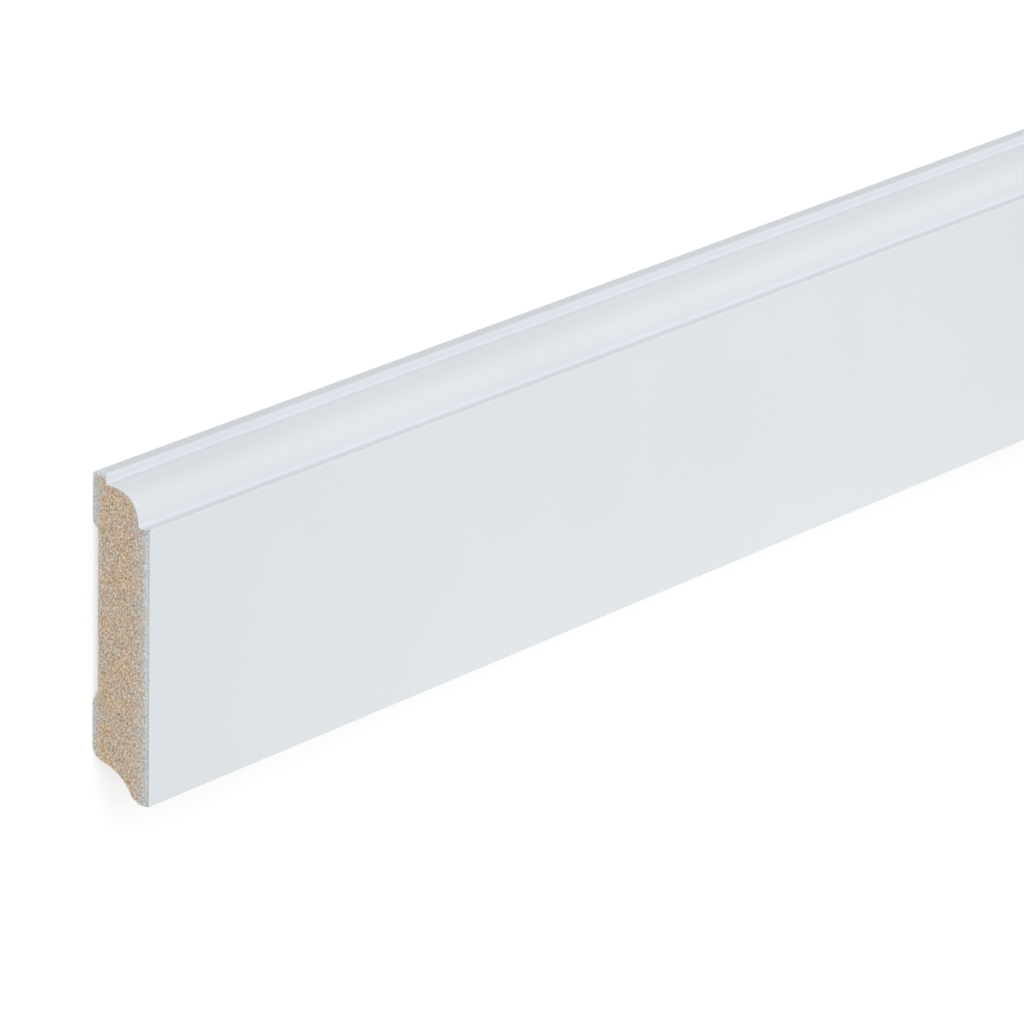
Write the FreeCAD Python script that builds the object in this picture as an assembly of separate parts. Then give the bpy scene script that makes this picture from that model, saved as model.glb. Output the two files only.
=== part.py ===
"""A length of moulded skirting board, lying on its back.

The board is one moulded piece: a single section runs from end to end, and both
ends are sawn square. X runs along the board, Y from its foot to its top edge,
and Z from its back up to its front face. The origin is in the middle of the
back, on the surface that the board rests on.

The section is drawn in two coordinates. "rise" is the distance up the wall from
the foot of the fixed board, and "depth" is the distance out from its back.
"""
import FreeCAD, Part
import math
import os

# The sawn length, and the board's two overall sizes.
LENGTH = 2400.0
HEIGHT = 80.0
THICKNESS = 16.0

# The front moulding: a narrow top land, a step down to a quarter round that
# fills the depth between the land and the ledge, and the ledge above the face.
TOP_LAND = 4.1
STEP_DROP = 2.4
LEDGE_WIDTH = 3.1
STEP_EDGE_RADIUS = 0.6
STEP_ROOT_RADIUS = 0.5
LEDGE_ROOT_RADIUS = 1.0
LEDGE_EDGE_RADIUS = 0.4
TOP_REAR_RADIUS = 0.4

# The foot: a short flat, a rounded nose, a hollow undercut and a round heel.
FOOT_EDGE_RADIUS = 0.3
FOOT_FLAT = 1.0
NOSE_RADIUS = 4.8
COVE_RADIUS = 13.8
HEEL_RADIUS = 4.3
HEEL_RISE = 13.4

# The back: two lands that bear on the wall, and a shallow relief between them.
LOWER_LAND = 10.3
UPPER_LAND = 12.2
RELIEF_DEPTH = 1.5
LOWER_RAMP = 3.3
UPPER_RAMP = 1.5
RAMP_BLEND_RADIUS = 1.2


def at(rise, depth):
    """A point of the section, on the near sawn end."""
    return FreeCAD.Vector(-LENGTH / 2, rise - HEIGHT / 2, depth)


def unit(vector):
    """The same direction at length one."""
    return vector / vector.Length


def arc(centre, radius, start, end):
    """The shorter arc round a centre, from start to end."""
    middle = centre + unit((start + end) / 2 - centre) * radius
    return Part.Arc(start, middle, end).toShape()


def rounded_corner(before, corner, after, radius):
    """Start and end of the arc that rounds a corner between two straight runs, and the arc."""
    back = unit(before - corner)
    ahead = unit(after - corner)
    half_angle = back.getAngle(ahead) / 2
    reach = radius / math.tan(half_angle)
    centre = corner + unit(back + ahead) * (radius / math.sin(half_angle))
    start = corner + back * reach
    end = corner + ahead * reach
    return start, end, arc(centre, radius, start, end)


def circle_crossing(first, first_radius, second, second_radius, side):
    """The point at given distances from two centres, on the side that "side" points to."""
    across = second - first
    gap = across.Length
    along = (gap ** 2 + first_radius ** 2 - second_radius ** 2) / (2 * gap)
    sideways = unit(side - across * (side.dot(across) / gap ** 2))
    return first + across * (along / gap) + sideways * math.sqrt(first_radius ** 2 - along ** 2)


def foot_edges():
    """The heel, the hollow undercut and the nose, as three arcs that run into each other."""
    heel = at(HEEL_RISE, HEEL_RADIUS)
    nose = at(NOSE_RADIUS, THICKNESS - FOOT_FLAT)
    outwards = at(0, 0) - at(HEEL_RISE, THICKNESS)
    cove = circle_crossing(heel, COVE_RADIUS + HEEL_RADIUS, nose, COVE_RADIUS + NOSE_RADIUS, outwards)
    heel_start = at(HEEL_RISE, 0)
    heel_end = heel + unit(cove - heel) * HEEL_RADIUS
    nose_start = nose + unit(cove - nose) * NOSE_RADIUS
    nose_end = at(0, THICKNESS - FOOT_FLAT)
    edges = [
        arc(heel, HEEL_RADIUS, heel_start, heel_end),
        arc(cove, COVE_RADIUS, heel_end, nose_start),
        arc(nose, NOSE_RADIUS, nose_start, nose_end),
    ]
    return heel_start, nose_end, edges


def moulding_edges():
    """The ledge root, the quarter round and the root of the top step."""
    radius = THICKNESS - TOP_LAND - LEDGE_WIDTH
    centre_rise = HEIGHT - STEP_DROP - radius
    centre = at(centre_rise, TOP_LAND)
    ledge_rise = centre_rise - LEDGE_ROOT_RADIUS
    round_start = at(centre_rise, TOP_LAND + radius)
    ledge_root = at(centre_rise, TOP_LAND + radius + LEDGE_ROOT_RADIUS)
    ledge_end = at(ledge_rise, TOP_LAND + radius + LEDGE_ROOT_RADIUS)
    root_above = math.sqrt((radius + STEP_ROOT_RADIUS) ** 2 - STEP_ROOT_RADIUS ** 2)
    step_root = at(centre_rise + root_above, TOP_LAND + STEP_ROOT_RADIUS)
    round_end = centre + unit(step_root - centre) * radius
    step_start = at(centre_rise + root_above, TOP_LAND)
    edges = [
        arc(ledge_root, LEDGE_ROOT_RADIUS, ledge_end, round_start),
        arc(centre, radius, round_start, round_end),
        arc(step_root, STEP_ROOT_RADIUS, round_end, step_start),
    ]
    return ledge_end, step_start, ledge_rise, edges


def section():
    """The whole section as one closed face."""
    heel_start, nose_end, foot = foot_edges()
    ledge_end, step_start, ledge_rise, moulding = moulding_edges()

    lower_ramp_start = HEEL_RISE + LOWER_LAND
    upper_ramp_end = HEIGHT - UPPER_LAND
    corners = [
        [(at(0, THICKNESS), FOOT_EDGE_RADIUS), (at(ledge_rise, THICKNESS), LEDGE_EDGE_RADIUS)],
        [
            (at(HEIGHT, TOP_LAND), STEP_EDGE_RADIUS),
            (at(HEIGHT, 0), TOP_REAR_RADIUS),
            (at(upper_ramp_end, 0), RAMP_BLEND_RADIUS),
            (at(upper_ramp_end - UPPER_RAMP, RELIEF_DEPTH), RAMP_BLEND_RADIUS),
            (at(lower_ramp_start + LOWER_RAMP, RELIEF_DEPTH), RAMP_BLEND_RADIUS),
            (at(lower_ramp_start, 0), RAMP_BLEND_RADIUS),
        ],
    ]
    runs = [(nose_end, corners[0], ledge_end), (step_start, corners[1], heel_start)]

    edges = list(foot) + list(moulding)
    for start, turned, end in runs:
        points = [start] + [corner for corner, _ in turned] + [end]
        here = start
        for index, (corner, radius) in enumerate(turned, 1):
            arc_start, arc_end, bend = rounded_corner(points[index - 1], corner, points[index + 1], radius)
            edges += [Part.makeLine(here, arc_start), bend]
            here = arc_end
        edges.append(Part.makeLine(here, end))
    return Part.Face(Part.Wire(Part.__sortEdges__(edges)))


def skirting_board():
    """The section run along the whole length."""
    return section().extrude(FreeCAD.Vector(LENGTH, 0, 0))


os.makedirs("parts", exist_ok=True)
board = skirting_board()
board.exportStep("parts/skirting_board.step")
box = board.BoundBox
print("skirting_board valid", board.isValid(), "solids", len(board.Solids))
print("volume cm3", round(board.Volume / 1000, 1))
print("box", [round(v, 3) for v in (box.XMin, box.YMin, box.ZMin, box.XMax, box.YMax, box.ZMax)])
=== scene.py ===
"""Looks of one length of white-finished skirting board, lying on its back.

The board is a single closed mesh. Its moulded section is drawn from the sizes
below and runs from end to end, and its two sawn ends carry the relief of cut
fibreboard. X runs along the board, Y from its foot to its top edge, and Z up
from its back. Shapes and lights are in metres, and the materials work in
millimetres.

The section is drawn in two coordinates. "rise" is the distance from the foot
towards the top edge, and "depth" is the distance out from the back.
"""

import math
import random
from collections import namedtuple

import bmesh
import bpy
import numpy as np
from mathutils import Matrix, Vector, geometry, noise


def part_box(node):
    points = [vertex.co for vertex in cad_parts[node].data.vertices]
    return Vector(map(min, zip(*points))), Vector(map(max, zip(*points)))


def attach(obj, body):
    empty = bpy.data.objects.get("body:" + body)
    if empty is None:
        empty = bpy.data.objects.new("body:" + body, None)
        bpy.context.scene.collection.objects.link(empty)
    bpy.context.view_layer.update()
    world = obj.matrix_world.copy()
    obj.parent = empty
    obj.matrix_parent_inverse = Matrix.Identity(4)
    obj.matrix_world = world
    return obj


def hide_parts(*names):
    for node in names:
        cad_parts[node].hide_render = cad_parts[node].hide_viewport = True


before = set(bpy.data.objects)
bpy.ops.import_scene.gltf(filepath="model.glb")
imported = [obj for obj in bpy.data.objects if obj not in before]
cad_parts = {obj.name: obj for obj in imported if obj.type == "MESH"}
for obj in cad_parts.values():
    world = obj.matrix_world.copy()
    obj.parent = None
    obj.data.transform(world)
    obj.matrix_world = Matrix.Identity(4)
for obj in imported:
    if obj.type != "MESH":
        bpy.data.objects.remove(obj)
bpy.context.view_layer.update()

MM = 0.001
NODE = "skirting_board"
node_low, node_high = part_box(NODE)
LENGTH = node_high.x - node_low.x
HEIGHT = node_high.y - node_low.y
THICKNESS = node_high.z - node_low.z

# The front moulding. Its quarter round fills the depth between the top land and
# the ledge.
TOP_LAND = 4.1 * MM
STEP_DROP = 2.4 * MM
LEDGE_WIDTH = 3.1 * MM
ROUND_RADIUS = THICKNESS - TOP_LAND - LEDGE_WIDTH
STEP_EDGE_RADIUS = 0.6 * MM
STEP_ROOT_RADIUS = 0.5 * MM
LEDGE_ROOT_RADIUS = 1.0 * MM
LEDGE_EDGE_RADIUS = 0.4 * MM
TOP_REAR_RADIUS = 0.4 * MM

# The foot.
FOOT_EDGE_RADIUS = 0.3 * MM
FOOT_FLAT = 1.0 * MM
NOSE_RADIUS = 4.8 * MM
COVE_RADIUS = 13.8 * MM
HEEL_RADIUS = 4.3 * MM
HEEL_RISE = 13.4 * MM

# The back.
LOWER_LAND = 10.3 * MM
UPPER_LAND = 12.2 * MM
RELIEF_DEPTH = 1.5 * MM
LOWER_RAMP = 3.3 * MM
UPPER_RAMP = 1.5 * MM
RAMP_BLEND_RADIUS = 1.2 * MM

# The finish runs from the rear of the foot flat, over the front and the top, to
# just past the rear top corner.
FINISH_LAP = 1.2 * MM

# How finely the section is drawn, and where its rings stand from each sawn end.
OUTLINE_STEP = 0.32 * MM
ARC_STEP = math.radians(12)
END_RINGS = (0.0, 0.12 * MM, 0.3 * MM, 0.7 * MM, 2.0 * MM, 8.0 * MM, 25.0 * MM)
RING_SPACING = 75 * MM

# The points inside the sawn ends: their spacing, and as shares of it, how widely
# each is scattered and how near they come to the outline.
GRID_STEP = 0.25 * MM
GRID_JITTER = 0.3
GRID_CLEARANCE = 0.6
GRID_SEED = 11

# The relief that the saw leaves between the fibres. Its depth is a scale times a
# level, and the level is a mean plus coarse and fine pits. The pits are squeezed
# by factors along the rise and the depth, so that they are drawn out a little
# along the rise, and they fade out over a margin inside the outline.
RELIEF_SCALE = 0.06 * MM
RELIEF_MARGIN = 0.4 * MM
MEAN_LEVEL = 0.5
COARSE_PITS = 0.9 * MM
COARSE_LEVEL = 0.5
FINE_PITS = 0.5 * MM
FINE_LEVEL = 0.8
DEEPEST_LEVEL = 1.3
PIT_SQUEEZE = (0.85, 1.0)

# The worn arris round each sawn end: how far it is worn in at most, and the size
# of its worn spots. Wear and chips fade out along the board, over the reach plus
# a multiple of their own depth, by a power of the way that is left.
ARRIS_WEAR = 0.07 * MM
WORN_SPOTS = 0.7 * MM
ARRIS_REACH = 0.3 * MM
REACH_PER_DEPTH = 1.5
FADE_POWER = 1.5

# Chips in the arris. Each has its middle in the section, its size and how far it
# goes in. Deeper in a chip than the limit, the board is bare. That limit rises by
# one over the chips' reach along the board.
Chip = namedtuple("Chip", ("rise", "depth", "size", "dent"))
CHIP_LIMIT = 0.15
CHIP_REACH = 0.9 * MM
NEAR_CHIPS = (
    Chip(67.6 * MM, 15.7 * MM, 0.95 * MM, 0.38 * MM),
    Chip(31.0 * MM, 16.0 * MM, 0.35 * MM, 0.14 * MM),
)
FAR_CHIPS = (
    Chip(52.0 * MM, 16.0 * MM, 0.4 * MM, 0.16 * MM),
    Chip(70.5 * MM, 0.0, 0.5 * MM, 0.2 * MM),
)

# A sawn end: its distance from the near end, the direction into the board, its
# chips, and the seeds of its wear, its coarse pits and its fine pits.
SawnEnd = namedtuple("SawnEnd", ("along", "inwards", "chips", "wear_seed", "coarse_seed", "fine_seed"))
NEAR_END = SawnEnd(0.0, 1, NEAR_CHIPS, 1, 3, 10)
FAR_END = SawnEnd(LENGTH, -1, FAR_CHIPS, 2, 4, 11)

# The mesh's material slots, in the order in which the materials are added.
FINISHED_SLOT = 0
BARE_SLOT = 1
SAWN_SLOT = 2

# What the triangle maker is asked for: triangles over the whole hull of its points,
# with points nearer to each other than this many millimetres taken as one.
HULL_TRIANGLES = 0
SAME_POINT = 1e-6


def arc(centre, start, end):
    """Points along the shorter arc round a centre, from start up to just before end."""
    first = start - centre
    last = end - centre
    turn = math.atan2(first.x * last.y - first.y * last.x, first.dot(last))
    count = math.ceil(max(abs(turn) * first.length / OUTLINE_STEP, abs(turn) / ARC_STEP))
    return [centre + Matrix.Rotation(turn * i / count, 2) @ first for i in range(count)]


def run(start, end):
    """Points along a straight run, from start up to just before end."""
    count = math.ceil((end - start).length / OUTLINE_STEP)
    return [start.lerp(end, i / count) for i in range(count)]


def cornered_run(start, corners, end):
    """Points along straight runs with rounded corners, from start up to just before end."""
    turned = [start, *(corner for corner, _ in corners), end]
    points = []
    here = start
    for index, (corner, radius) in enumerate(corners, 1):
        back = (turned[index - 1] - corner).normalized()
        ahead = (turned[index + 1] - corner).normalized()
        half_angle = back.angle(ahead) / 2
        centre = corner + (back + ahead).normalized() * (radius / math.sin(half_angle))
        bend_start = corner + back * (radius / math.tan(half_angle))
        bend_end = corner + ahead * (radius / math.tan(half_angle))
        points += run(here, bend_start) + arc(centre, bend_start, bend_end)
        here = bend_end
    return points + run(here, end)


def circle_crossing(first, first_radius, second, second_radius):
    """The point at given distances from two centres, on the side of the foot."""
    across = second - first
    gap = across.length
    along = (gap ** 2 + first_radius ** 2 - second_radius ** 2) / (2 * gap)
    sideways = Vector((-across.y, across.x)).normalized()
    if sideways.x > 0:
        sideways = -sideways
    return first + across * (along / gap) + sideways * math.sqrt(first_radius ** 2 - along ** 2)


def foot():
    """The start of the heel, the end of the nose, and points along heel, hollow undercut and nose."""
    heel = Vector((HEEL_RISE, HEEL_RADIUS))
    nose = Vector((NOSE_RADIUS, THICKNESS - FOOT_FLAT))
    cove = circle_crossing(heel, COVE_RADIUS + HEEL_RADIUS, nose, COVE_RADIUS + NOSE_RADIUS)
    heel_start = Vector((HEEL_RISE, 0))
    heel_end = heel + (cove - heel).normalized() * HEEL_RADIUS
    nose_start = nose + (cove - nose).normalized() * NOSE_RADIUS
    nose_end = Vector((0, THICKNESS - FOOT_FLAT))
    points = arc(heel, heel_start, heel_end)
    points += arc(cove, heel_end, nose_start)
    points += arc(nose, nose_start, nose_end)
    return heel_start, nose_end, points


def moulding():
    """The end of the ledge, the start of the top step, and points along the moulding between them."""
    centre = Vector((HEIGHT - STEP_DROP - ROUND_RADIUS, TOP_LAND))
    round_start = centre + Vector((0, ROUND_RADIUS))
    ledge_root = round_start + Vector((0, LEDGE_ROOT_RADIUS))
    ledge_end = ledge_root - Vector((LEDGE_ROOT_RADIUS, 0))
    root_above = math.sqrt((ROUND_RADIUS + STEP_ROOT_RADIUS) ** 2 - STEP_ROOT_RADIUS ** 2)
    step_root = centre + Vector((root_above, STEP_ROOT_RADIUS))
    round_end = centre + (step_root - centre).normalized() * ROUND_RADIUS
    step_start = centre + Vector((root_above, 0))
    points = arc(ledge_root, ledge_end, round_start)
    points += arc(centre, round_start, round_end)
    points += arc(step_root, round_end, step_start)
    return ledge_end, step_start, points


def section():
    """The outline of the section as two open stretches, finished and raw, that follow each other."""
    heel_start, nose_end, foot_points = foot()
    ledge_end, step_start, moulding_points = moulding()
    lap_end = Vector((HEIGHT - FINISH_LAP, 0))
    face_corners = [
        (Vector((0, THICKNESS)), FOOT_EDGE_RADIUS),
        (Vector((ledge_end.x, THICKNESS)), LEDGE_EDGE_RADIUS),
    ]
    top_corners = [
        (Vector((HEIGHT, TOP_LAND)), STEP_EDGE_RADIUS),
        (Vector((HEIGHT, 0)), TOP_REAR_RADIUS),
    ]
    upper = HEIGHT - UPPER_LAND
    lower = HEEL_RISE + LOWER_LAND
    back_corners = [
        (Vector((upper, 0)), RAMP_BLEND_RADIUS),
        (Vector((upper - UPPER_RAMP, RELIEF_DEPTH)), RAMP_BLEND_RADIUS),
        (Vector((lower + LOWER_RAMP, RELIEF_DEPTH)), RAMP_BLEND_RADIUS),
        (Vector((lower, 0)), RAMP_BLEND_RADIUS),
    ]
    finished = cornered_run(nose_end, face_corners, ledge_end) + moulding_points
    finished += cornered_run(step_start, top_corners, lap_end)
    raw = cornered_run(lap_end, back_corners, heel_start) + foot_points
    return np.array(finished), np.array(raw)


def inward_normals(loop):
    """The unit normal of each point of a closed outline, pointing into the section."""
    ahead = np.roll(loop, -1, axis=0) - np.roll(loop, 1, axis=0)
    sideways = np.stack([-ahead[:, 1], ahead[:, 0]], axis=1)
    sideways /= np.linalg.norm(sideways, axis=1, keepdims=True)
    area = np.sum(loop[:, 0] * np.roll(loop[:, 1], -1) - loop[:, 1] * np.roll(loop[:, 0], -1))
    return sideways * np.sign(area)


def distance_to_path(points, path):
    """The distance of each point to an open path."""
    nearest = np.full(len(points), np.inf)
    for start, end in zip(path[:-1], path[1:]):
        along = end - start
        share = np.clip((points - start) @ along / (along @ along), 0, 1)
        gap = points - start - share[:, None] * along
        nearest = np.minimum(nearest, np.hypot(gap[:, 0], gap[:, 1]))
    return nearest


def distance_to_outline(points, loop):
    """The distance of each point to a closed outline."""
    return distance_to_path(points, np.vstack([loop, loop[:1]]))


def inside(points, loop):
    """Whether each point lies inside a closed outline."""
    odd = np.zeros(len(points), bool)
    for start, end in zip(loop, np.roll(loop, -1, axis=0)):
        if start[0] == end[0]:
            continue
        spans = (start[0] > points[:, 0]) != (end[0] > points[:, 0])
        share = (points[:, 0] - start[0]) / (end[0] - start[0])
        odd ^= spans & (points[:, 1] < start[1] + share * (end[1] - start[1]))
    return odd


def speckle(points, size, seed):
    """Smooth noise from about -1 to 1 at each point, with features of the given size."""
    return np.array([noise.noise(Vector((a / size, b / size, seed))) for a, b in points])


def chip_share(points, chips):
    """How deep each point lies in a chip, from 0 outside it to 1 in its middle."""
    share = np.zeros(len(points))
    for chip in chips:
        away = np.hypot(points[:, 0] - chip.rise, points[:, 1] - chip.depth)
        share = np.maximum(share, np.exp(-(away / chip.size) ** 2))
    return share


def arris_moves(loop, end):
    """How far each point of the outline moves inwards at a sawn end, for wear and chips."""
    normals = inward_normals(loop)
    wear = ARRIS_WEAR * (0.5 + 0.5 * speckle(loop, WORN_SPOTS, end.wear_seed))
    moves = normals * wear[:, None]
    for chip in end.chips:
        share = chip_share(loop, [chip])[:, None]
        inwards = (normals * share).sum(axis=0)
        moves += chip.dent * share * inwards / np.linalg.norm(inwards)
    return moves


def ring_places():
    """How far each ring of the section stands from the near end."""
    middle = np.arange(RING_SPACING, LENGTH - RING_SPACING / 2, RING_SPACING)
    return np.concatenate([END_RINGS, middle, LENGTH - np.array(END_RINGS[::-1])])


def worn_ring(loop, along, worn_ends):
    """One ring of the section, with the wear and the chips that reach it from each end."""
    ring = loop.copy()
    for end, moves in worn_ends:
        reach = ARRIS_REACH + REACH_PER_DEPTH * np.linalg.norm(moves, axis=1)
        left = np.clip(1 - abs(along - end.along) / reach, 0, 1)
        ring += moves * (left ** FADE_POWER)[:, None]
    return np.column_stack([np.full(len(loop), along), ring])


def side_faces(places, loop, finished_count):
    """The faces between the rings, and the material slot of each."""
    count = len(loop)
    near_share = chip_share(loop, NEAR_CHIPS)
    far_share = chip_share(loop, FAR_CHIPS)
    faces = []
    slots = []
    for ring in range(len(places) - 1):
        along = (places[ring] + places[ring + 1]) / 2
        broken = near_share > CHIP_LIMIT + along / CHIP_REACH
        broken |= far_share > CHIP_LIMIT + (LENGTH - along) / CHIP_REACH
        here = ring * count
        beyond = here + count
        for i in range(count):
            j = (i + 1) % count
            faces.append((here + i, here + j, beyond + j, beyond + i))
            whole = FINISHED_SLOT if i < finished_count else BARE_SLOT
            slots.append(SAWN_SLOT if broken[i] and broken[j] else whole)
    return faces, slots


def grid_points(loop, rng):
    """Scattered points that fill the section, clear of its outline."""
    row_step = GRID_STEP * math.sqrt(3) / 2
    points = []
    for row in range(math.ceil(HEIGHT / row_step)):
        shift = GRID_STEP / 2 * (row % 2)
        for column in range(math.ceil(THICKNESS / GRID_STEP)):
            across = GRID_JITTER * GRID_STEP * (rng.random() - 0.5)
            up = GRID_JITTER * GRID_STEP * (rng.random() - 0.5)
            points.append((row * row_step + up, column * GRID_STEP + shift + across))
    points = np.array(points)
    points = points[inside(points, loop)]
    return points[distance_to_outline(points, loop) > GRID_CLEARANCE * GRID_STEP]


def triangles(loop, points):
    """Triangles that fill the outline and use all its points and those inside it."""
    corners = np.vstack([loop, points])
    scaled = [Vector(corner) / MM for corner in corners]
    edges = [(i, (i + 1) % len(loop)) for i in range(len(loop))]
    made = geometry.delaunay_2d_cdt(scaled, edges, [], HULL_TRIANGLES, SAME_POINT, True)
    _, _, cells, came_from, _, _ = made
    faces = np.array([[came_from[i][0] for i in cell] for cell in cells])
    middles = corners[faces].mean(axis=1)
    return faces[inside(middles, loop)].tolist()


def sawn_relief(points, loop, end):
    """How deep the sawn surface lies at each point: pits and grooves between the fibres."""
    squeezed = points * np.array(PIT_SQUEEZE)
    coarse = speckle(squeezed, COARSE_PITS, end.coarse_seed)
    fine = speckle(squeezed, FINE_PITS, end.fine_seed)
    fade = np.clip(distance_to_outline(points, loop) / RELIEF_MARGIN, 0, 1)
    level = np.clip(MEAN_LEVEL + COARSE_LEVEL * coarse + FINE_LEVEL * fine, 0, DEEPEST_LEVEL)
    return RELIEF_SCALE * fade * level


def sawn_end(rim, end, rng):
    """The points inside a sawn end, and the triangles between its rim and them."""
    points = grid_points(rim, rng)
    places = end.along + end.inwards * sawn_relief(points, rim, end)
    return np.column_stack([places, points]), triangles(rim, points)


def lap_distances(finished, raw):
    """The distance of each point of the outline, along its raw stretch, from the finish."""
    steps = np.linalg.norm(np.diff(np.vstack([raw, finished[:1]]), axis=0), axis=1)
    past = np.concatenate([[0], np.cumsum(steps)])
    along_raw = np.minimum(past[:-1], past[-1] - past[:-1])
    return np.concatenate([np.zeros(len(finished)), along_raw])


def material_values(verts, ring_count, finished, raw):
    """What the materials read at each point.

    These are its distance in the plane of the section from the finished outline,
    its distance along the raw outline from the finish, both in millimetres, and
    how deep it lies in a chip.
    """
    flat = verts[:, 1:]
    lap = lap_distances(finished, raw)
    lap_distance = np.zeros(len(verts))
    lap_distance[:ring_count * len(lap)] = np.tile(lap, ring_count)
    near_half = verts[:, 0] < LENGTH / 2
    return {
        "rim_distance": distance_to_path(flat, finished) / MM,
        "lap_distance": lap_distance / MM,
        "chip": np.where(near_half, chip_share(flat, NEAR_CHIPS), chip_share(flat, FAR_CHIPS)),
    }


def board_mesh():
    """The whole board as one closed mesh, with its material slots and what its materials read."""
    finished, raw = section()
    loop = np.vstack([finished, raw])
    count = len(loop)
    places = ring_places()
    worn_ends = [(end, arris_moves(loop, end)) for end in (NEAR_END, FAR_END)]
    blocks = [worn_ring(loop, along, worn_ends) for along in places]
    faces, slots = side_faces(places, loop, len(finished))

    made = len(places) * count
    rng = random.Random(GRID_SEED)
    for ring, end in ((0, NEAR_END), (len(places) - 1, FAR_END)):
        points, end_faces = sawn_end(blocks[ring][:, 1:], end, rng)
        numbers = [*range(ring * count, (ring + 1) * count), *range(made, made + len(points))]
        faces += [[numbers[i] for i in face] for face in end_faces]
        slots += [SAWN_SLOT] * len(end_faces)
        blocks.append(points)
        made += len(points)

    verts = np.vstack(blocks)
    values = material_values(verts, len(places), finished, raw)
    verts += np.array([node_low.x, node_low.y, node_low.z])
    mesh = bpy.data.meshes.new("moulded_board")
    mesh.from_pydata(verts.tolist(), [], faces)
    mesh.polygons.foreach_set("material_index", slots)
    for name, at_points in values.items():
        mesh.attributes.new(name, "FLOAT", "POINT").data.foreach_set("value", at_points)
    mesh.validate()
    return mesh


def tidy_normals(mesh):
    """Faces all the faces outwards, smooths them and keeps the arris of the sawn ends sharp."""
    work = bmesh.new()
    work.from_mesh(mesh)
    bmesh.ops.recalc_face_normals(work, faces=work.faces)
    for face in work.faces:
        face.smooth = True
    for edge in work.edges:
        if len({face.material_index == SAWN_SLOT for face in edge.link_faces}) == 2:
            edge.smooth = False
    work.to_mesh(mesh)
    work.free()


# A Mix node's sockets for colours, by number.
MIX_FIRST_COLOUR = 6
MIX_SECOND_COLOUR = 7
MIX_COLOUR_OUT = 2

# A noise texture: how much it is squeezed along X, Y and Z, the size of its
# features in millimetres, its detail and its distortion. Its values lie round the
# middle.
Texture = namedtuple("Texture", ("squeeze", "size", "detail", "distortion"), defaults=(2, 0))
EVEN = (1, 1, 1)
NOISE_MIDDLE = 0.5


def opaque(colour):
    """A colour with its alpha, or a socket as it is."""
    return (*colour, 1.0) if isinstance(colour, tuple) else colour


def grey(level):
    """The grey of a level from 0 to 1."""
    return opaque((level, level, level))


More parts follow.
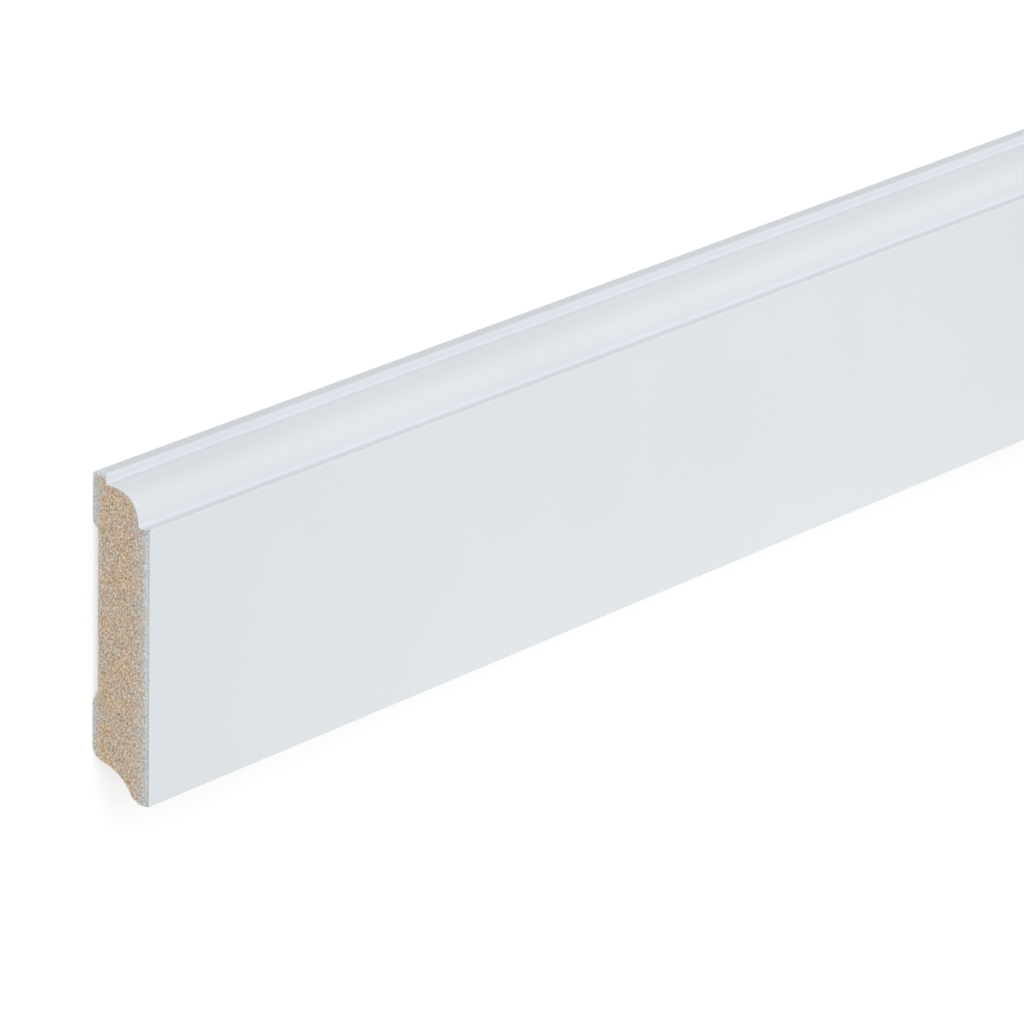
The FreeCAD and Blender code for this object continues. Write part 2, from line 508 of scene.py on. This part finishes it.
class Nodes:
    """The node graph of a material or of the world, with a short call for each kind of node."""

    def __init__(self, tree):
        self.tree = tree

    def add(self, kind, inputs=None, **settings):
        """A node with its settings, and its inputs given by name or number as values or sockets."""
        node = self.tree.nodes.new(kind)
        for name, value in settings.items():
            setattr(node, name, value)
        for name, value in (inputs or {}).items():
            if isinstance(value, bpy.types.NodeSocket):
                self.tree.links.new(value, node.inputs[name])
            else:
                node.inputs[name].default_value = value
        return node

    def show(self, node, surface):
        """Links a shader node to the socket that shows it."""
        self.tree.links.new(node.outputs[0], surface)

    def place(self, squeeze=EVEN, turn=0.0):
        """The place on the object in millimetres, turned about Z and then squeezed."""
        place = self.add("ShaderNodeTexCoord").outputs["Object"]
        turned = self.add("ShaderNodeMapping", {"Vector": place, "Rotation": (0, 0, turn)})
        inputs = {"Vector": turned.outputs[0], "Scale": [factor / MM for factor in squeeze]}
        return self.add("ShaderNodeMapping", inputs).outputs[0]

    def up_and_out(self):
        """How far up from the board's middle line and out from its back, in millimetres."""
        outputs = self.add("ShaderNodeSeparateXYZ", {"Vector": self.place()}).outputs
        return outputs["Y"], outputs["Z"]

    def attribute(self, name):
        """A value that the mesh holds at each of its points."""
        return self.add("ShaderNodeAttribute", attribute_name=name).outputs["Fac"]

    def noise(self, texture, turn=0.0, output="Fac"):
        """The noise of a texture, turned about Z: a value from 0 to 1, or its colour."""
        inputs = {
            "Vector": self.place(texture.squeeze, turn),
            "Scale": 1 / texture.size,
            "Detail": texture.detail,
            "Distortion": texture.distortion,
        }
        return self.add("ShaderNodeTexNoise", inputs).outputs[output]

    def cells(self, squeeze, size):
        """The colours of cells about size millimetres wide, and the distance to their middles."""
        inputs = {"Vector": self.place(squeeze), "Scale": 1 / size}
        outputs = self.add("ShaderNodeTexVoronoi", inputs).outputs
        return outputs["Color"], outputs["Distance"]

    def math(self, operation, first, second):
        """The outcome of one sum on two values or sockets."""
        return self.add("ShaderNodeMath", {0: first, 1: second}, operation=operation).outputs[0]

    def weighted(self, *shares):
        """The sum of several values, each times its share."""
        parts = [self.math("MULTIPLY", value, share) for value, share in shares]
        total = parts[0]
        for part in parts[1:]:
            total = self.math("ADD", total, part)
        return total

    def product(self, *values):
        """Several values times each other."""
        total = values[0]
        for value in values[1:]:
            total = self.math("MULTIPLY", total, value)
        return total

    def largest(self, *values):
        """The largest of several values."""
        total = values[0]
        for value in values[1:]:
            total = self.math("MAXIMUM", total, value)
        return total

    def wander(self, value, by, width):
        """A value moved up and down by a noise, over a given width."""
        centred = self.math("SUBTRACT", by, NOISE_MIDDLE)
        return self.math("ADD", value, self.math("MULTIPLY", centred, width))

    def between(self, value, start, end, low=0.0, high=1.0):
        """A value mapped from start..end to low..high, smoothly, and held there outside it."""
        inputs = {"Value": value, "From Min": start, "From Max": end, "To Min": low, "To Max": high}
        return self.add("ShaderNodeMapRange", inputs, interpolation_type="SMOOTHSTEP").outputs["Result"]

    def band(self, value, one_side, other_side):
        """One inside a band of the value and none outside it, with a range for each side."""
        return self.product(self.between(value, *one_side), self.between(value, *other_side))

    def mix(self, factor, first, second, blend="MIX"):
        """Two colours mixed by a factor."""
        inputs = {"Factor": factor, MIX_FIRST_COLOUR: opaque(first), MIX_SECOND_COLOUR: opaque(second)}
        node = self.add("ShaderNodeMix", inputs, data_type="RGBA", blend_type=blend)
        return node.outputs[MIX_COLOUR_OUT]

    def mix_values(self, factor, first, second):
        """Two values mixed by a factor."""
        inputs = {"Factor": factor, "A": first, "B": second}
        return self.add("ShaderNodeMix", inputs, data_type="FLOAT").outputs["Result"]

    def ramp(self, factor, stops):
        """A colour ramp through (position, colour) stops."""
        node = self.add("ShaderNodeValToRGB", {"Fac": factor})
        elements = node.color_ramp.elements
        while len(elements) < len(stops):
            elements.new(0.5)
        for element, (position, colour) in zip(elements, stops):
            element.position = position
            element.color = opaque(colour)
        return node.outputs["Color"]

    def bump(self, height, distance, below=None):
        """A bump of a height from 0 to 1, over distance in metres, on top of another bump."""
        inputs = {"Height": height, "Distance": distance, "Strength": 1.0}
        if below is not None:
            inputs["Normal"] = below
        return self.add("ShaderNodeBump", inputs).outputs["Normal"]


def new_material(name):
    """An empty node material, with its graph and the socket that its shader goes to."""
    material = bpy.data.materials.new(name)
    material.use_nodes = True
    material.node_tree.nodes.clear()
    nodes = Nodes(material.node_tree)
    surface = nodes.add("ShaderNodeOutputMaterial").inputs["Surface"]
    return material, nodes, surface


# Where the section's edges lie for the materials, in millimetres: the top, the
# step and the ledge up from the board's middle line, and the face out from its
# back. The ranges below go from where a share starts to where it is full, and
# some also say how strong it is at both.
TOP_UP = HEIGHT / 2 / MM
STEP_UP = TOP_UP - STEP_DROP / MM
LEDGE_UP = STEP_UP - (ROUND_RADIUS + LEDGE_ROOT_RADIUS) / MM
FACE_OUT = THICKNESS / MM

# The satin white finish: its two tones, its broad clouds, the streaks along the
# board and its fine skin. Its roughness follows the sum of streaks and skin.
FINISH_LIGHT = (0.711, 0.751, 0.778)
FINISH_DARK = (0.695, 0.735, 0.762)
FINISH_IOR = 1.48
CLOUDS = Texture(EVEN, 60)
STREAKS = Texture((0.02, 1, 1), 1.6, 3)
SKIN = Texture(EVEN, 1.3)
CLOUD_SHARE = 0.8
STREAK_SHARE = 0.2
FINISH_CONTRAST = (0.3, 0.7)
FINISH_ROUGHNESS = (0.7, 1.3, 0.36, 0.44)
STREAK_HEIGHT = 0.006 * MM
SKIN_HEIGHT = 0.012 * MM

# Painted light in the finish's colour: a lavender tint of the light on the moulding, a cooler tint of
# the light on the top, and painted light that lightens the ledge and the root of the step, where they
# lie in shade.
MOULDING_LIGHT_TINT = (1.023, 0.999, 1.016)
TOP_LIGHT_TINT = (0.975, 1.0, 1.01)
CORNER_PAINTED_LIGHT = (1.05, 1.05, 1.05)
MOULDING_RANGE = (LEDGE_UP - 2.3, LEDGE_UP + 0.7)
TOP_RANGE = (TOP_UP - 0.7, TOP_UP - 0.3)
LEDGE_LIGHT_BAND = ((LEDGE_UP - 0.2, LEDGE_UP - 0.05), (LEDGE_UP + 0.7, LEDGE_UP + 0.2))
STEP_LIGHT_BAND = ((STEP_UP - 0.9, STEP_UP - 0.3), (STEP_UP + 0.3, STEP_UP))


def finish_look(nodes):
    """Colour, roughness and bump of the satin white finish; the colour carries painted light on the
    moulding, the top and in the corners.
    """
    streaks = nodes.noise(STREAKS)
    skin = nodes.noise(SKIN)
    tone = nodes.weighted((nodes.noise(CLOUDS), CLOUD_SHARE), (streaks, STREAK_SHARE))
    colour = nodes.mix(nodes.between(tone, *FINISH_CONTRAST), FINISH_DARK, FINISH_LIGHT)

    up, _ = nodes.up_and_out()
    # Painted light: the ledge and the root of the step are lightened against the shade that lies in
    # them.
    painted_corner_light = nodes.largest(nodes.band(up, *LEDGE_LIGHT_BAND), nodes.band(up, *STEP_LIGHT_BAND))
    # Painted light: tints of the light on the moulding and the top, and the corners' painted light,
    # multiplied into the colour.
    painted_light_tints = (
        (nodes.between(up, *MOULDING_RANGE), MOULDING_LIGHT_TINT),
        (nodes.between(up, *TOP_RANGE), TOP_LIGHT_TINT),
        (painted_corner_light, CORNER_PAINTED_LIGHT),
    )
    for share, tint in painted_light_tints:
        colour = nodes.mix(share, colour, tint, blend="MULTIPLY")

    roughness = nodes.between(nodes.math("ADD", streaks, skin), *FINISH_ROUGHNESS)
    normal = nodes.bump(skin, SKIN_HEIGHT, nodes.bump(streaks, STREAK_HEIGHT))
    return colour, roughness, normal


def finish_material():
    """The satin white finish of the front and the top."""
    material, nodes, surface = new_material("satin_white_finish")
    colour, roughness, normal = finish_look(nodes)
    inputs = {"Base Color": colour, "Roughness": roughness, "Normal": normal, "IOR": FINISH_IOR}
    nodes.show(nodes.add("ShaderNodeBsdfPrincipled", inputs), surface)
    return material


# Tones of the sawn fibreboard, from its darkest specks to its lightest, as stops
# of a ramp: the warm core, the dense board near the surfaces, the palest layer
# under the face, and the crumbled board in a chip.
CORE_TONES = (
    (0.10, (0.295, 0.209, 0.128)),
    (0.50, (0.553, 0.438, 0.327)),
    (0.90, (0.808, 0.704, 0.586)),
)
DENSE_TONES = (
    (0.10, (0.397, 0.401, 0.388)),
    (0.50, (0.560, 0.565, 0.547)),
    (0.90, (0.732, 0.740, 0.720)),
)
PALEST_TONES = ((0.10, (0.57, 0.58, 0.59)), (0.90, (0.87, 0.88, 0.89)))
CRUMBLED_TONES = ((0.35, (0.36, 0.365, 0.37)), (0.7, (0.68, 0.69, 0.695)))

# The grain of the sawn ends: fibres, crumbs and a broader noise in given shares.
FIBRES = Texture((1, 0.88, 1.35), 0.5, 2, 0.8)
CRUMB_SQUEEZE = (1, 0.85, 1.3)
CRUMB_SIZE = 0.5
BROAD_GRAIN = Texture(EVEN, 1.6)
FIBRE_CONTRAST = (0.28, 0.72)
FIBRE_SHARE = 0.65
CRUMB_SHARE = 0.2
BROAD_SHARE = 0.15
SAWN_HEIGHT = 0.05 * MM

# Specks of many colours, and patches that make the board cooler or warmer. The
# patches are weaker where the board is dense.
SPECKS = Texture(EVEN, 3.0, 1)
SPECK_STRENGTH = 0.05
PATCHES = Texture(EVEN, 6.0)
PATCH_CONTRAST = (0.36, 0.64)
PATCH_TINTS = ((0.0, (0.964, 1.006, 1.062)), (1.0, (1.036, 0.991, 0.94)))
PATCH_RANGE = (0, 1, 1.0, 0.35)

# Where the board is dense: towards the face in two stages, towards the back,
# along the top, and a little all along the finish. The layer at the back is
# thinner low down. The edges of the layers wander with the broad grain, and the
# distance from the finish with the fibres.
LAYER_UNEVENNESS = 2.5
RIM_UNEVENNESS = 0.5
OUTER_FRONT_RANGE = (FACE_OUT - 2.8, FACE_OUT - 0.8, 0, 0.65)
INNER_FRONT_RANGE = (FACE_OUT - 5.6, FACE_OUT - 2.8, 0, 0.35)
BACK_RANGE = (3.1, 0.5)
THINNER_RANGE = (0, -14, 0.0, 0.6)
TOP_LAYER_RANGE = (TOP_UP - 2.6, TOP_UP - 0.2)
RIM_RANGE = (1.1, 0.2, 0, 0.6)

# The palest layer under the face, which is weaker low down, and the dark line
# along the face.
PALEST_RANGE = (FACE_OUT - 1.8, FACE_OUT - 0.8, 0, 0.45)
PALEST_UP_RANGE = (-36, -2, 0.25, 1.0)
LINE_RANGE = (FACE_OUT - 0.5, FACE_OUT - 0.35, 0, 0.45)
LINE_COLOUR = (0.47, 0.48, 0.50)

# The finish's cut edge on the sawn ends: how wide it is on the way up, how soft
# its edge is, and where it fades out towards the face and the back.
FILM_COLOUR = (0.86, 0.88, 0.90)
FILM_WIDTH = (STEP_UP - 3.1, TOP_UP - 1.0, 0.08, 0.62)
FILM_EDGE = (0.1, -0.1)
FILM_FACE_RANGE = (FACE_OUT - 1.8, FACE_OUT - 2.8)
FILM_BACK_RANGE = (3.0, 4.6, 0.35, 1.0)

# Where a chip shows its crumbled board, and the gloss of the sawn ends. The
# roughness goes from that of the board to that of the finish's cut edge.
CHIP_RANGE = (0.1, 0.4)
SAWN_ROUGHNESS = (0, 1, 0.92, 0.5)
SAWN_IOR = 1.4
SAWN_SPECULAR = 0.25


def dense_share(nodes, up, uneven_up, uneven_out, rim):
    """How dense the sawn board is, from 0 in its core to 1 at its face, its back and its top."""
    front = nodes.math(
        "ADD",
        nodes.between(uneven_out, *INNER_FRONT_RANGE),
        nodes.between(uneven_out, *OUTER_FRONT_RANGE),
    )
    from_back = nodes.math("ADD", uneven_out, nodes.between(up, *THINNER_RANGE))
    return nodes.largest(
        front,
        nodes.between(from_back, *BACK_RANGE),
        nodes.between(uneven_up, *TOP_LAYER_RANGE),
        nodes.between(rim, *RIM_RANGE),
    )


def film_share(nodes, uneven_up, out, rim):
    """Where the finish's cut edge shows on the sawn ends."""
    inside_film = nodes.math("SUBTRACT", rim, nodes.between(uneven_up, *FILM_WIDTH))
    return nodes.product(
        nodes.between(inside_film, *FILM_EDGE),
        nodes.between(out, *FILM_FACE_RANGE),
        nodes.between(out, *FILM_BACK_RANGE),
    )


def sawn_material():
    """Fibreboard cut across: a speckled core, paler and greyer towards the board's surfaces."""
    material, nodes, surface = new_material("sawn_fibreboard")
    fibres = nodes.noise(FIBRES)
    broad = nodes.noise(BROAD_GRAIN)
    crumb_colour, from_crumb = nodes.cells(CRUMB_SQUEEZE, CRUMB_SIZE)
    crumb_tone = nodes.add("ShaderNodeSeparateColor", {"Color": crumb_colour}).outputs["Red"]
    tone = nodes.weighted(
        (nodes.between(fibres, *FIBRE_CONTRAST), FIBRE_SHARE),
        (crumb_tone, CRUMB_SHARE),
        (broad, BROAD_SHARE),
    )

    up, out = nodes.up_and_out()
    uneven_up = nodes.wander(up, broad, LAYER_UNEVENNESS)
    uneven_out = nodes.wander(out, broad, LAYER_UNEVENNESS)
    rim = nodes.wander(nodes.attribute("rim_distance"), fibres, RIM_UNEVENNESS)
    dense = dense_share(nodes, up, uneven_up, uneven_out, rim)
    colour = nodes.mix(dense, nodes.ramp(tone, CORE_TONES), nodes.ramp(tone, DENSE_TONES))
    palest = nodes.product(
        nodes.between(uneven_out, *PALEST_RANGE),
        nodes.between(up, *PALEST_UP_RANGE),
    )
    colour = nodes.mix(palest, colour, nodes.ramp(tone, PALEST_TONES))
    colour = nodes.mix(SPECK_STRENGTH, colour, nodes.noise(SPECKS, output="Color"), blend="OVERLAY")
    patches = nodes.ramp(nodes.between(nodes.noise(PATCHES), *PATCH_CONTRAST), PATCH_TINTS)
    colour = nodes.mix(nodes.between(dense, *PATCH_RANGE), colour, patches, blend="MULTIPLY")

    colour = nodes.mix(nodes.between(out, *LINE_RANGE), colour, LINE_COLOUR)
    film = film_share(nodes, uneven_up, out, rim)
    colour = nodes.mix(film, colour, FILM_COLOUR)
    in_chip = nodes.between(nodes.attribute("chip"), *CHIP_RANGE)
    colour = nodes.mix(in_chip, colour, nodes.ramp(fibres, CRUMBLED_TONES))

    inputs = {
        "Base Color": colour,
        "Roughness": nodes.between(film, *SAWN_ROUGHNESS),
        "Normal": nodes.bump(nodes.math("ADD", from_crumb, fibres), SAWN_HEIGHT),
        "IOR": SAWN_IOR,
        "Specular IOR Level": SAWN_SPECULAR,
    }
    nodes.show(nodes.add("ShaderNodeBsdfPrincipled", inputs), surface)
    return material


# The bare fibreboard. Its tone is made of grain, stains and the tool marks along
# the board, and chatter marks run across it.
GRAIN = Texture(EVEN, 0.35, 3)
STAINS = Texture(EVEN, 14, 3)
TOOL_MARKS = Texture((0.015, 1, 1), 0.9, 3)
CHATTER = Texture((1, 0.04, 0.04), 1.3, 1)
GRAIN_SHARE = 0.45
STAIN_SHARE = 0.3
MARK_SHARE = 0.25

# Flecks of fibre, which lie in three directions, given in radians.
FLECKS = Texture((0.28, 1.5, 1.5), 0.55)
FLECK_TURNS = (0.25, 1.3, 2.3)
FLECK_RANGE = (0.52, 0.68)

# The milled surfaces, from dark to light, and the lighter flecks in them.
MILLED_TONES = (
    (0.32, (0.34, 0.245, 0.165)),
    (0.50, (0.49, 0.375, 0.27)),
    (0.68, (0.60, 0.485, 0.37)),
)
MILLED_FLECK = (0.68, 0.58, 0.46)
MILLED_FLECK_SHARE = 0.3

# The sanded lands, their lighter flecks and their darker specks, and how far out
# from the back they reach, in millimetres.
SANDED = (0.535, 0.475, 0.40)
SANDED_FLECK = (0.62, 0.57, 0.50)
SANDED_FLECK_SHARE = 0.35
SANDED_SPECK = (0.40, 0.33, 0.26)
SANDED_SPECK_RANGE = (0.55, 0.35, 0.0, 0.35)
LAND_RANGE = (0.35, 0.1)

# How far the finish runs on over the bare board, in millimetres, and how ragged
# its end is.
OVERRUN_RANGE = (1.1, 0.3)
OVERRUN_UNEVENNESS = 2.2

# The relief and the gloss of the bare board.
FLECK_HEIGHT_SHARE = 0.5
GRAIN_HEIGHT = 0.03 * MM
MARK_HEIGHT = 0.02 * MM
CHATTER_HEIGHT = 0.015 * MM
BARE_ROUGHNESS = 0.88
BARE_IOR = 1.4
BARE_SPECULAR = 0.3


def raw_material():
    """Bare fibreboard of the back and the foot: flecks, tool marks and the finish's fading edge."""
    material, nodes, surface = new_material("bare_fibreboard")
    strands = [nodes.noise(FLECKS, turn) for turn in FLECK_TURNS]
    flecks = nodes.largest(*(nodes.between(strand, *FLECK_RANGE) for strand in strands))
    grain = nodes.noise(GRAIN)
    marks = nodes.noise(TOOL_MARKS)
    tone = nodes.weighted((grain, GRAIN_SHARE), (nodes.noise(STAINS), STAIN_SHARE), (marks, MARK_SHARE))

    milled = nodes.ramp(tone, MILLED_TONES)
    milled = nodes.mix(nodes.math("MULTIPLY", flecks, MILLED_FLECK_SHARE), milled, MILLED_FLECK)
    sanded = nodes.mix(nodes.math("MULTIPLY", flecks, SANDED_FLECK_SHARE), SANDED, SANDED_FLECK)
    sanded = nodes.mix(nodes.between(grain, *SANDED_SPECK_RANGE), sanded, SANDED_SPECK)
    _, out = nodes.up_and_out()
    colour = nodes.mix(nodes.between(out, *LAND_RANGE), milled, sanded)

    lap = nodes.wander(nodes.attribute("lap_distance"), grain, OVERRUN_UNEVENNESS)
    overrun = nodes.between(lap, *OVERRUN_RANGE)
    white, satin, _ = finish_look(nodes)
    height = nodes.math("ADD", grain, nodes.math("MULTIPLY", flecks, FLECK_HEIGHT_SHARE))
    tooling = nodes.bump(marks, MARK_HEIGHT, nodes.bump(nodes.noise(CHATTER), CHATTER_HEIGHT))
    inputs = {
        "Base Color": nodes.mix(overrun, colour, white),
        "Roughness": nodes.mix_values(overrun, BARE_ROUGHNESS, satin),
        "Normal": nodes.bump(height, GRAIN_HEIGHT, tooling),
        "IOR": BARE_IOR,
        "Specular IOR Level": BARE_SPECULAR,
    }
    nodes.show(nodes.add("ShaderNodeBsdfPrincipled", inputs), surface)
    return material


def add_object(name, data):
    """An object that holds the data, put in the scene."""
    made = bpy.data.objects.new(name, data)
    bpy.context.scene.collection.objects.link(made)
    return made


def make_board():
    """The board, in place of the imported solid."""
    mesh = board_mesh()
    tidy_normals(mesh)
    for material in (finish_material(), raw_material(), sawn_material()):
        mesh.materials.append(material)
    board = add_object("moulded_board", mesh)
    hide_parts(NODE)
    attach(board, "root")


# Light: even from all round, with a wide soft lamp and a faint one from the far
# end. A level of one lights a surface that faces it to the colour it has. The
# soft lamp's own gloss is hidden: it would wash out the flat face, seen from the
# far end.
WORLD_LEVEL = 0.592
WORLD_SHOWN = 1.0
Sun = namedtuple("Sun", ("name", "level", "came_from", "width", "shows_gloss"))
SUNS = (
    Sun("soft_lamp", 0.551, (-0.62, 0.35, 0.70), math.radians(60), False),
    Sun("far_lamp", 0.022, (0.836, 0.272, 0.476), math.radians(20), True),
)

# A weak lamp low beside the foot, a quarter of a metre in from the near end. It
# makes the face a little lighter towards the foot and away from the sawn end.
# Its place is given from the near end, the foot and the floor.
SIDE_LAMP_ALONG = 0.27
SIDE_LAMP_AWAY = 0.12
SIDE_LAMP_ABOVE = 0.06
SIDE_LAMP_LENGTH = 0.3
SIDE_LAMP_WIDTH = 0.03
SIDE_LAMP_POWER = 0.060

# The floor: its size, the share of light that it sends back to the board, and
# where it shows, its own share and the glow that makes it white.
FLOOR_SIDE = 80
FLOOR_BOUNCE = 0.55
FLOOR_SHOWN = 0.34
FLOOR_GLOW = 0.70


def seen_directly(nodes):
    """One for the rays that show a background: camera, glossy and transmission rays."""
    path = nodes.add("ShaderNodeLightPath").outputs
    return nodes.largest(path["Is Camera Ray"], path["Is Glossy Ray"], path["Is Transmission Ray"])


def make_floor():
    """A plain white floor that keeps the board's shadow."""
    half = FLOOR_SIDE / 2
    mesh = bpy.data.meshes.new("floor")
    corners = [(-half, -half, 0), (half, -half, 0), (half, half, 0), (-half, half, 0)]
    mesh.from_pydata(corners, [], [(0, 1, 2, 3)])
    floor = add_object("floor", mesh)
    material, nodes, surface = new_material("white_floor")
    bounce = nodes.add("ShaderNodeBsdfDiffuse", {"Color": grey(FLOOR_BOUNCE)})
    shown = nodes.add("ShaderNodeBsdfDiffuse", {"Color": grey(FLOOR_SHOWN)})
    glow = nodes.add("ShaderNodeEmission", {"Color": grey(1.0), "Strength": FLOOR_GLOW})
    lit = nodes.add("ShaderNodeAddShader", {0: shown.outputs[0], 1: glow.outputs[0]})
    inputs = {0: seen_directly(nodes), 1: bounce.outputs[0], 2: lit.outputs[0]}
    nodes.show(nodes.add("ShaderNodeMixShader", inputs), surface)
    mesh.materials.append(material)


def make_world():
    """Even light from all round, and white where it shows."""
    world = bpy.data.worlds.new("studio")
    bpy.context.scene.world = world
    world.use_nodes = True
    world.node_tree.nodes.clear()
    nodes = Nodes(world.node_tree)
    inputs = {"Value": seen_directly(nodes), "To Min": WORLD_LEVEL, "To Max": WORLD_SHOWN}
    level = nodes.add("ShaderNodeMapRange", inputs).outputs["Result"]
    background = nodes.add("ShaderNodeBackground", {"Color": grey(1.0), "Strength": level})
    nodes.show(background, nodes.add("ShaderNodeOutputWorld").inputs["Surface"])


def make_suns():
    """The wide soft lamp and the faint far one."""
    for sun in SUNS:
        lamp = bpy.data.lights.new(sun.name, "SUN")
        lamp.energy = sun.level * math.pi
        lamp.angle = sun.width
        holder = add_object(sun.name, lamp)
        holder.rotation_euler = Vector(sun.came_from).to_track_quat("Z", "Y").to_euler()
        holder.visible_glossy = sun.shows_gloss


def make_side_lamp():
    """The weak lamp beside the foot, turned towards the middle line of the face."""
    place = Vector((node_low.x + SIDE_LAMP_ALONG, node_low.y - SIDE_LAMP_AWAY, SIDE_LAMP_ABOVE))
    aim = Vector((place.x, 0, node_high.z))
    lamp = bpy.data.lights.new("side_lamp", "AREA")
    lamp.shape = "RECTANGLE"
    lamp.size = SIDE_LAMP_LENGTH
    lamp.size_y = SIDE_LAMP_WIDTH
    lamp.energy = SIDE_LAMP_POWER
    holder = add_object("side_lamp", lamp)
    holder.location = place
    holder.rotation_euler = (place - aim).to_track_quat("Z", "Y").to_euler()
    holder.visible_camera = False
    holder.visible_glossy = False


# The camera: its angles round and above the face of a board that stands against
# a wall, its roll, its lens, where the near bottom corner of the face shows in
# the image and how far off it is.
IMAGE_SIDE = 1024
SENSOR_WIDTH = 36.0
CAMERA_ROUND = math.radians(59.54)
CAMERA_ABOVE = math.radians(14.02)
CAMERA_ROLL = math.radians(0.685)
FOCAL_PIXELS = 10747
CORNER_PIXEL = (148.35, 807.11)
CORNER_DISTANCE = 2.550
NEAREST_SHOWN = 0.1
FARTHEST_SHOWN = 100


def make_camera():
    """A long lens near the sawn end, set for a standing board and laid down with it."""
    right = Vector((math.cos(CAMERA_ROUND), -math.sin(CAMERA_ROUND), 0))
    up = Vector((
        math.sin(CAMERA_ROUND) * math.sin(CAMERA_ABOVE),
        math.cos(CAMERA_ROUND) * math.sin(CAMERA_ABOVE),
        math.cos(CAMERA_ABOVE),
    ))
    rolled_right = right * math.cos(CAMERA_ROLL) + up * math.sin(CAMERA_ROLL)
    rolled_up = up * math.cos(CAMERA_ROLL) - right * math.sin(CAMERA_ROLL)
    lay_down = Matrix(((1, 0, 0), (0, 0, 1), (0, -1, 0)))
    right = lay_down @ rolled_right
    up = lay_down @ rolled_up
    back = right.cross(up)

    middle_pixel = (IMAGE_SIDE - 1) / 2
    across = (CORNER_PIXEL[0] - middle_pixel) / FOCAL_PIXELS * CORNER_DISTANCE
    above = (middle_pixel - CORNER_PIXEL[1]) / FOCAL_PIXELS * CORNER_DISTANCE
    corner = Vector((node_low.x, node_low.y, node_high.z))
    place = corner - right * across - up * above + back * CORNER_DISTANCE

    data = bpy.data.cameras.new("camera")
    data.sensor_width = SENSOR_WIDTH
    data.lens = FOCAL_PIXELS / IMAGE_SIDE * SENSOR_WIDTH
    data.clip_start = NEAREST_SHOWN
    data.clip_end = FARTHEST_SHOWN
    camera = add_object("camera", data)
    turn = Matrix((right, up, back)).transposed().to_4x4()
    camera.matrix_world = Matrix.Translation(place) @ turn
    bpy.context.scene.camera = camera


make_board()
make_floor()
make_world()
make_suns()
make_side_lamp()
make_camera()
bpy.context.scene.view_settings.view_transform = "Standard"
